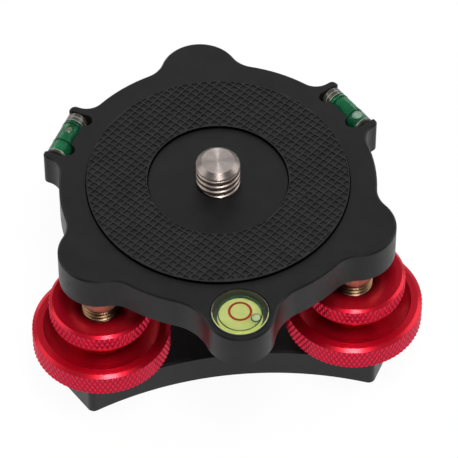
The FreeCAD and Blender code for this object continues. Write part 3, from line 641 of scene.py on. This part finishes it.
def leveling_stud(name):
    """Thread in the middle, keyed shank below it, plain collar, neck and ball above it."""
    plain, collar = 1, 2
    bm = threaded(STUD_RADIUS, STUD_THREAD_DEPTH, STUD_PITCH, low=14.2, high=29.3, crest=0.24,
                  root=0.16, steps=8)
    ball_height = 39.85
    ball_radius = 2.9
    neck = 1.9
    ball_steps = 16
    start = math.degrees(math.asin(neck / ball_radius))
    ball = []
    for step in range(ball_steps + 1):
        angle = math.radians(180 - start - (180 - start) * step / ball_steps)
        ball.append((ball_radius * math.sin(angle), ball_height + ball_radius * math.cos(angle)))
    top = [(0, 28.9), (3.4, 28.9), (3.4, 29.2), (3.85, 29.2), (4.0, 29.35), (4.0, 35.3),
           (3.7, 35.6), (2.1, 35.6), (neck, 35.8)]
    slots = (plain,) * 2 + (collar,) * 4 + (plain,) * (ball_steps + 3)
    join(bm, banded_lathe(top + ball, THREAD_SIDES, slots))
    join(bm, keyed_shank(low=3.8, high=14.4, slot=plain))
    item = piece("leveling_stud_threaded_" + name, bm, stud_place(name), STUD_ANGLES[name])
    fit(item, "stud_" + name, "leveling_stud_" + name, COPPER_THREAD, COPPER, COPPER_COLLAR_LIT)


def keyed_shank(low, high, slot):
    """Plain shank with a keyway along +X."""
    bm = bmesh.new()
    radius, half, floor = 3.97, 0.9, 3.2
    start = math.asin(half / radius)
    count = 56
    outline = [(floor, half)]
    for i in range(count + 1):
        angle = start + (2 * math.pi - 2 * start) * i / count
        outline.append((radius * math.cos(angle), radius * math.sin(angle)))
    outline.append((floor, -half))
    levels = [(low, 0.87), (low + 0.4, 1.0), (high, 1.0)]
    rings = [[bm.verts.new((x * share, y * share, z)) for x, y in outline]
             for z, share in levels]
    for lower, upper in zip(rings, rings[1:]):
        skin(bm, lower, upper, slot)
    bm.faces.new(rings[0]).material_index = slot
    bm.faces.new(rings[-1]).material_index = slot
    return bm


# Camera screw and tripod socket


def tripod_socket():
    """Steel insert with the standard tripod thread."""
    bm = tapped_ring(radius=4.8, depth=0.75, pitch=CAMERA_PITCH, outer=7.5, low=0.0, high=7.0)
    item = piece("tripod_socket_threaded", bm)
    fit(item, "base", "tripod_socket_insert", STEEL)


def camera_screw():
    """Standard camera thread with a bevelled end, on a flat head with a hexagon socket."""
    end_face, turned = 1, 2
    radius, tip = CAMERA_THREAD_RADIUS, 3.53
    bevel_low, end = 50.5, 51.6
    fade_end, fade_length = 50.75, 0.9

    def limit(height, wide):
        fade = min(1.0, max(0.0, (fade_end - height) / fade_length))
        wide = radius - (radius - wide) * fade
        cone = radius - (radius - tip) * (height - bevel_low) / (end - bevel_low)
        return min(wide, cone)

    bm = threaded(radius, CAMERA_THREAD_DEPTH, CAMERA_PITCH, low=45.0, high=end, crest=0.46,
                  root=0.04, steps=16, limit=limit)
    for face in bm.faces:
        height = face.calc_center_median().z
        if height > bevel_low:
            face.material_index = end_face if height > end - MERGE else turned
    join(bm, screw_head(turned))
    item = piece("camera_screw_threaded", bm)
    fit(item, "platform", "camera_screw", STEEL_THREAD, STEEL_FACE_LIT, STEEL)


def screw_head(slot):
    """Shank and flat head below the thread, with a hexagon socket in the underside."""
    bm = bmesh.new()
    count = THREAD_SIDES
    socket, floor, low = 3.46, 38.8, 37.0
    outer = [(4.2, 45.2), (4.2, 39.5), (7.3, 39.5), (7.4, 39.4), (7.4, 37.4), (7.0, low)]
    rings = turn_profile(bm, outer, count, closed=False)
    bm.faces.new(rings[0])
    rim = []
    for i in range(count):
        angle = 2 * math.pi * i / count
        across = math.radians((math.degrees(angle) % 60) - 30)
        reach = socket * math.cos(math.radians(30)) / math.cos(across)
        rim.append((reach * math.cos(angle), reach * math.sin(angle)))
    mouth = [bm.verts.new((x, y, low)) for x, y in rim]
    bottom = [bm.verts.new((x, y, floor)) for x, y in rim]
    skin(bm, rings[-1], mouth)
    skin(bm, mouth, bottom)
    bm.faces.new(bottom)
    for face in bm.faces:
        face.material_index = slot
    return bm


# Grip pad


def lattice(i, j):
    """Corner of the lattice that the pad's texture follows."""
    turned = math.radians(LATTICE_TURN)
    across, up = i * LATTICE_PITCH, j * LATTICE_PITCH
    return (across * math.cos(turned) - up * math.sin(turned) + LATTICE_SHIFT[0],
            across * math.sin(turned) + up * math.cos(turned) + LATTICE_SHIFT[1])


def square(i, j, inset):
    """Corners of one lattice square, drawn in by a share of its width."""
    near, far = inset, 1 - inset
    return [lattice(i + u, j + v)
            for u, v in ((near, near), (far, near), (far, far), (near, far))]


def cut_at(corners, radius, side):
    """Part of an outline inside a circle (side 1) or outside it (side -1)."""
    kept = []
    for start, end in zip(corners, corners[1:] + corners[:1]):
        here = side * (radius - math.hypot(*start))
        there = side * (radius - math.hypot(*end))
        if here >= 0:
            kept.append(start)
        if here * there < 0:
            share = here / (here - there)
            kept.append(tuple(a + (b - a) * share for a, b in zip(start, end)))
    return kept


def outline_area(corners):
    """Area of a flat outline."""
    return abs(sum(x0 * y1 - x1 * y0 for (x0, y0), (x1, y1)
                   in zip(corners, corners[1:] + corners[:1]))) / 2


def pocket_outlines(inner, outer, inset, smallest):
    """Pockets of the texture, cut off where they meet the rims of the ring."""
    reach = 24
    outlines = []
    for i in range(-reach, reach):
        for j in range(-reach, reach):
            corners = cut_at(square(i, j, inset), outer, 1)
            corners = cut_at(corners, inner, -1)
            if len(corners) > 2 and outline_area(corners) > smallest:
                outlines.append(corners)
    return outlines


def drawn_in(corners, share):
    """The outline made smaller about its own middle."""
    middle = [sum(values) / len(corners) for values in zip(*corners)]
    return [(middle[0] + (x - middle[0]) * share, middle[1] + (y - middle[1]) * share)
            for x, y in corners]


def grip_pad():
    """Rubber ring with shallow square pockets between thin ribs, and a gap at either rim."""
    bm = bmesh.new()
    top, floor, shoulder, bottom = 45.7, 45.42, 44.9, 44.5
    inner, outer = 14.8, 28.1
    gap, edge, margin = 0.2, 0.1, 0.22
    taper = 0.9
    mouths = []
    for corners in pocket_outlines(inner + gap + margin, outer - gap - margin, inset=0.1,
                                   smallest=0.15):
        mouth = [bm.verts.new((x, y, top)) for x, y in corners]
        sunk = [bm.verts.new((x, y, floor)) for x, y in drawn_in(corners, taper)]
        skin(bm, mouth, sunk)
        bm.faces.new(sunk)
        mouths.append(mouth)
    count = 180
    rims = [ring_points(bm, outer - gap - edge, top, count),
            ring_points(bm, inner + gap + edge, top, count)]
    fill_between(bm, rims[0], rims[1], mouths)
    profile = [(outer - gap, top - edge), (outer - gap, shoulder), (outer, 44.7),
               (outer, bottom), (inner, bottom), (inner, 44.7), (inner + gap, shoulder),
               (inner + gap, top - edge)]
    below = [ring_points(bm, radius, height, count) for radius, height in profile]
    walls = zip([rims[0]] + below, below + [rims[1]])
    for k, (lower, upper) in enumerate(walls):
        # Below its top edges the pad takes slot 1, the near-black painted shade of its rim gaps.
        skin(bm, lower, upper, 0 if k in (0, len(profile)) else 1)
    item = piece("grip_pad_textured", bm)
    fit(item, "platform", "grip_pad", RUBBER, RUBBER_EDGE_SHADE)


def fill_between(bm, outer, inner, holes):
    """Fills a flat ring between two rims, leaving the holes open."""
    loops = [outer, inner] + holes
    verts = [v for loop in loops for v in loop]
    edges = []
    first = 0
    for loop in loops:
        size = len(loop)
        edges += [(first + n, first + (n + 1) % size) for n in range(size)]
        first += size
    owners = [k for k, loop in enumerate(loops) for _ in loop]
    result = delaunay_2d_cdt([v.co.to_2d() for v in verts], edges, [], 0, 1e-7)
    for triangle in result[2]:
        corners = [result[3][n][0] for n in triangle]
        owned = {owners[n] for n in corners}
        if len(owned) > 1 or owned == {0}:
            bm.faces.new([verts[n] for n in corners])


# Bubble levels


def egg(half_x, half_y, half_z, at):
    """Rounded bubble with these half widths."""
    bm = bmesh.new()
    bmesh.ops.create_uvsphere(bm, u_segments=32, v_segments=16, radius=1.0)
    bmesh.ops.scale(bm, vec=(half_x, half_y, half_z), verts=bm.verts)
    bmesh.ops.translate(bm, vec=at, verts=bm.verts)
    return bm


def round_level():
    """Bull's-eye level: clear puck with a lime cup in it, on a dark backing; the puck's side and
    the backing are dark plastic as painted shade.
    """
    count = 96
    top = 45.3

    def put(name, bm, node, *materials):
        item = piece("round_level_" + name, bm, LEVEL_CENTRE)
        fit(item, "platform", "round_level_" + node, *materials)

    # Puck: dark sides as painted shade and a pale top edge as painted highlight.
    puck = [(0, 40.0), (5.9, 40.0), (6.15, 40.25), (6.15, 43.8), (5.96, 43.95), (5.96, 45.07),
            (5.88, 45.17), (5.75, top), (0, top)]
    put("puck", banded_lathe(puck, count, (0, 1, 1, 1, 1, 2, 0, 0)), "body",
        CLEAR, PUCK_SIDE_SHADE, PALE_EDGE_HIGHLIGHT)

    # Cup: outer wall in the brighter lime (painted light), wall above its top in dark green
    # (painted shade), lime top.
    cup = [(0, 41.4), (4.5, 41.4), (4.7, 41.6), (4.7, 44.25), (4.45, 44.25), (4.45, 43.1),
           (0, 43.1)]
    put("cell", banded_lathe(cup, count, (0, 0, 0, 1, 1, 2)), "liquid",
        LIME_SIDE_LIT, DARK_GREEN_SHADE, LIME)

    backing = [(0, 37.9), (5.9, 37.9), (6.1, 38.1), (6.1, 39.95), (0, 39.95)]
    put("base", lathe(backing, count, closed=False), "backing", PUCK_SIDE_SHADE)

    mark = [(2.0, top), (2.5, top), (2.48, top + 0.04), (2.02, top + 0.04)]
    put("ring", lathe(mark, count, closed=True), "target", RING_INK)

    bubble = egg(1.1, 1.1, 0.4, (3.15, -1.4, 43.7))
    bubble.normal_update()
    steep = 0.85
    # Steep faces of the bubble take the dark green, painted shade round its side.
    for face in bubble.faces:
        face.material_index = 1 if face.normal.z < steep else 0
    put("air", bubble, "bubble", LIME_AIR, DARK_GREEN_SHADE)


def tube_level(side):
    """Tube level: clear rod with the green cell inside it, lying along its own Y."""
    count = 64
    forward = 1 if side == "left" else -1
    angle = math.radians(TUBE_ANGLES[side])
    place = (TUBE_CIRCLE * math.cos(angle), TUBE_CIRCLE * math.sin(angle), TUBE_HEIGHT)
    lie_down = Matrix.Rotation(math.radians(-90 * forward), 3, "X")

    def laid(bm):
        bmesh.ops.rotate(bm, cent=(0, 0, 0), matrix=lie_down, verts=bm.verts)
        return bm

    def put(name, bm, node, *materials):
        item = piece(name + side, bm, place, TUBE_ANGLES[side])
        fit(item, "platform", node + side, *materials)

    # along the profile, plus is towards the front
    wide = 2.3
    rod = [(0, -6.1), (2.15, -6.1), (wide, -5.95), (wide, -5.1), (wide, -4.98), (wide, -4.14),
           (wide, -4.02), (wide, 4.86), (wide, 4.98), (wide, 5.35), (2.15, 5.5), (0, 5.5)]
    # The thin pale bands (slot 2) on the plugs are painted highlight.
    put("tube_rod_", laid(banded_lathe(rod, count, (1, 2, 1, 2, 1, 2, 0, 2, 1, 1, 1))),
        "tube_level_", CLEAR_ROD, PLUG, PALE_EDGE_HIGHLIGHT)

    cell = [(0, -4.05), (1.7, -4.05), (1.85, -3.9), (1.85, 4.6), (1.7, 4.85), (0, 4.85)]
    put("tube_cell_", laid(lathe(cell, count, closed=False)), "tube_liquid_", GREEN)

    bands = bmesh.new()
    inside, outside, half = 2.305, 2.34, 0.12
    for middle in (-2.95, 2.05):
        band = [(inside, middle - half), (outside, middle - half), (outside, middle + half),
                (inside, middle + half)]
        turn_profile(bands, band, count, closed=True)
    put("tube_marks_", laid(bands), "tube_lines_", LINE_INK)

    along = -1.5 if side == "left" else -3.0
    put("tube_air_", egg(1.05, 1.5, 0.85, (0, along, 1.25)), "tube_bubble_", TUBE_AIR[side])


# Room, light and camera


def seen_white(tree, plain, white):
    """Shader that is white to the camera, to gloss and to glass, and plain to other light."""
    rays = tree.nodes.new("ShaderNodeLightPath")
    either = rays.outputs["Is Camera Ray"]
    for other in ("Is Glossy Ray", "Is Transmission Ray"):
        largest = tree.nodes.new("ShaderNodeMath")
        largest.operation = "MAXIMUM"
        tree.links.new(either, largest.inputs[0])
        tree.links.new(rays.outputs[other], largest.inputs[1])
        either = largest.outputs["Value"]
    mix = tree.nodes.new("ShaderNodeMixShader")
    tree.links.new(either, mix.inputs["Fac"])
    tree.links.new(plain, mix.inputs[1])
    tree.links.new(white, mix.inputs[2])
    return mix.outputs["Shader"]


def studio_tone(tree):
    """Brightness of the world to shiny surfaces: less from above and least by the camera."""
    place = tree.nodes.new("ShaderNodeTexCoord")
    split = tree.nodes.new("ShaderNodeSeparateXYZ")
    tree.links.new(place.outputs["Generated"], split.inputs["Vector"])
    above = spread(tree, split.outputs["Z"], 0.62, 0.48, 0.05, 0.6)
    behind = spread(tree, split.outputs["Y"], 0.1, 1.0, -0.7, -0.1)
    both = tree.nodes.new("ShaderNodeMath")
    both.operation = "MULTIPLY"
    tree.links.new(above, both.inputs[0])
    tree.links.new(behind, both.inputs[1])
    return both.outputs["Value"]


def surroundings():
    """World: plain light, white behind the object, and a softer tone for gloss."""
    world = bpy.data.worlds.new("studio")
    bpy.context.scene.world = world
    world.use_nodes = True
    tree = world.node_tree
    plain = tree.nodes["Background"]
    plain.inputs["Color"].default_value = (0.95, 0.97, 1.0, 1)
    plain.inputs["Strength"].default_value = 0.4
    shiny = tree.nodes.new("ShaderNodeBackground")
    tree.links.new(studio_tone(tree), shiny.inputs["Strength"])
    white = tree.nodes.new("ShaderNodeBackground")
    for node in (shiny, white):
        node.inputs["Color"].default_value = (1, 1, 1, 1)
    rays = tree.nodes.new("ShaderNodeLightPath")
    shade = plain.outputs["Background"]
    for ray, seen in (("Is Glossy Ray", shiny), ("Is Transmission Ray", white),
                      ("Is Camera Ray", white)):
        mix = tree.nodes.new("ShaderNodeMixShader")
        tree.links.new(rays.outputs[ray], mix.inputs["Fac"])
        tree.links.new(shade, mix.inputs[1])
        tree.links.new(seen.outputs["Background"], mix.inputs[2])
        shade = mix.outputs["Shader"]
    tree.links.new(shade, tree.nodes["World Output"].inputs["Surface"])


def white_floor():
    """Table that looks white and keeps the object's shadow."""
    reach, drop = 1500, 0.05
    glow_share = 0.95
    bm = bmesh.new()
    bmesh.ops.create_grid(bm, x_segments=1, y_segments=1, size=reach)
    floor = piece("floor", bm, (0, 0, -drop))
    material, tree, shader = new_material("floor_white")
    shader.inputs["Base Color"].default_value = (0.85, 0.85, 0.85, 1)
    shader.inputs["Roughness"].default_value = 0.9
    shader.inputs["Specular IOR Level"].default_value = 0.0
    glow = tree.nodes.new("ShaderNodeEmission")
    glow.inputs["Color"].default_value = (1, 1, 1, 1)
    glow.inputs["Strength"].default_value = 1.0
    part = tree.nodes.new("ShaderNodeMixShader")
    part.inputs["Fac"].default_value = glow_share
    tree.links.new(shader.outputs["BSDF"], part.inputs[1])
    tree.links.new(glow.outputs["Emission"], part.inputs[2])
    shade = seen_white(tree, shader.outputs["BSDF"], part.outputs["Shader"])
    tree.links.new(shade, tree.nodes["Material Output"].inputs["Surface"])
    floor.data.materials.append(material)


def lamp(name, at, size, power):
    """Soft rectangular lamp that points at the object."""
    data = bpy.data.lights.new(name, "AREA")
    data.shape = "RECTANGLE"
    data.size, data.size_y = size
    data.energy = power
    item = bpy.data.objects.new(name, data)
    bpy.context.scene.collection.objects.link(item)
    item.location = at
    aim = Vector(LAMP_TARGET) - Vector(at)
    item.rotation_euler = aim.to_track_quat("-Z", "Y").to_euler()


def lights():
    """One lamp over the camera's side and one each to the left, right and back."""
    lamp("top_softbox", (0.015, -0.26, 0.6), (0.12, 0.24), 3.2)
    lamp("left_softbox", (-0.62, 0.1, 0.42), (0.5, 0.5), 1.3)
    lamp("right_softbox", (0.62, 0.12, 0.40), (0.5, 0.5), 1.7)
    lamp("back_softbox", (0.0, 0.7, 0.35), (0.9, 0.3), 1.6)


def camera():
    """Camera at the photo's viewing angle, fitted to the photo's edges."""
    azimuth, elevation, roll = (math.radians(v) for v in (-7.368, 50.35, -0.024))
    distance, focal, shift_right, shift_up = 767.13, 3623.3, 2.316, -10.157
    back = Vector((math.sin(azimuth) * math.cos(elevation),
                   -math.cos(azimuth) * math.cos(elevation), math.sin(elevation)))
    level = Vector((math.cos(azimuth), math.sin(azimuth), 0))
    up = back.cross(level)
    right = level * math.cos(roll) + up * math.sin(roll)
    up = up * math.cos(roll) - level * math.sin(roll)
    platform_top = 45
    target = Vector((0, 0, platform_top)) + right * shift_right + up * shift_up
    data = bpy.data.cameras.new("camera")
    data.sensor_width = SENSOR_WIDTH
    data.lens = focal * SENSOR_WIDTH / PHOTO_WIDTH
    data.clip_start = 0.05
    item = bpy.data.objects.new("camera", data)
    bpy.context.scene.collection.objects.link(item)
    axes = Matrix((right, up, back)).transposed()
    item.matrix_world = Matrix.Translation((target + back * distance) * MM) @ axes.to_4x4()
    bpy.context.scene.camera = item


paint_frame()
for stud in STUD_ANGLES:
    adjusting_wheel(stud)
    lock_wheel(stud)
    leveling_stud(stud)
tripod_socket()
camera_screw()
grip_pad()
round_level()
for tube_side in TUBE_ANGLES:
    tube_level(tube_side)
surroundings()
white_floor()
lights()
camera()
bpy.context.scene.view_settings.view_transform = "Standard"

bpy.context.view_layer.update()
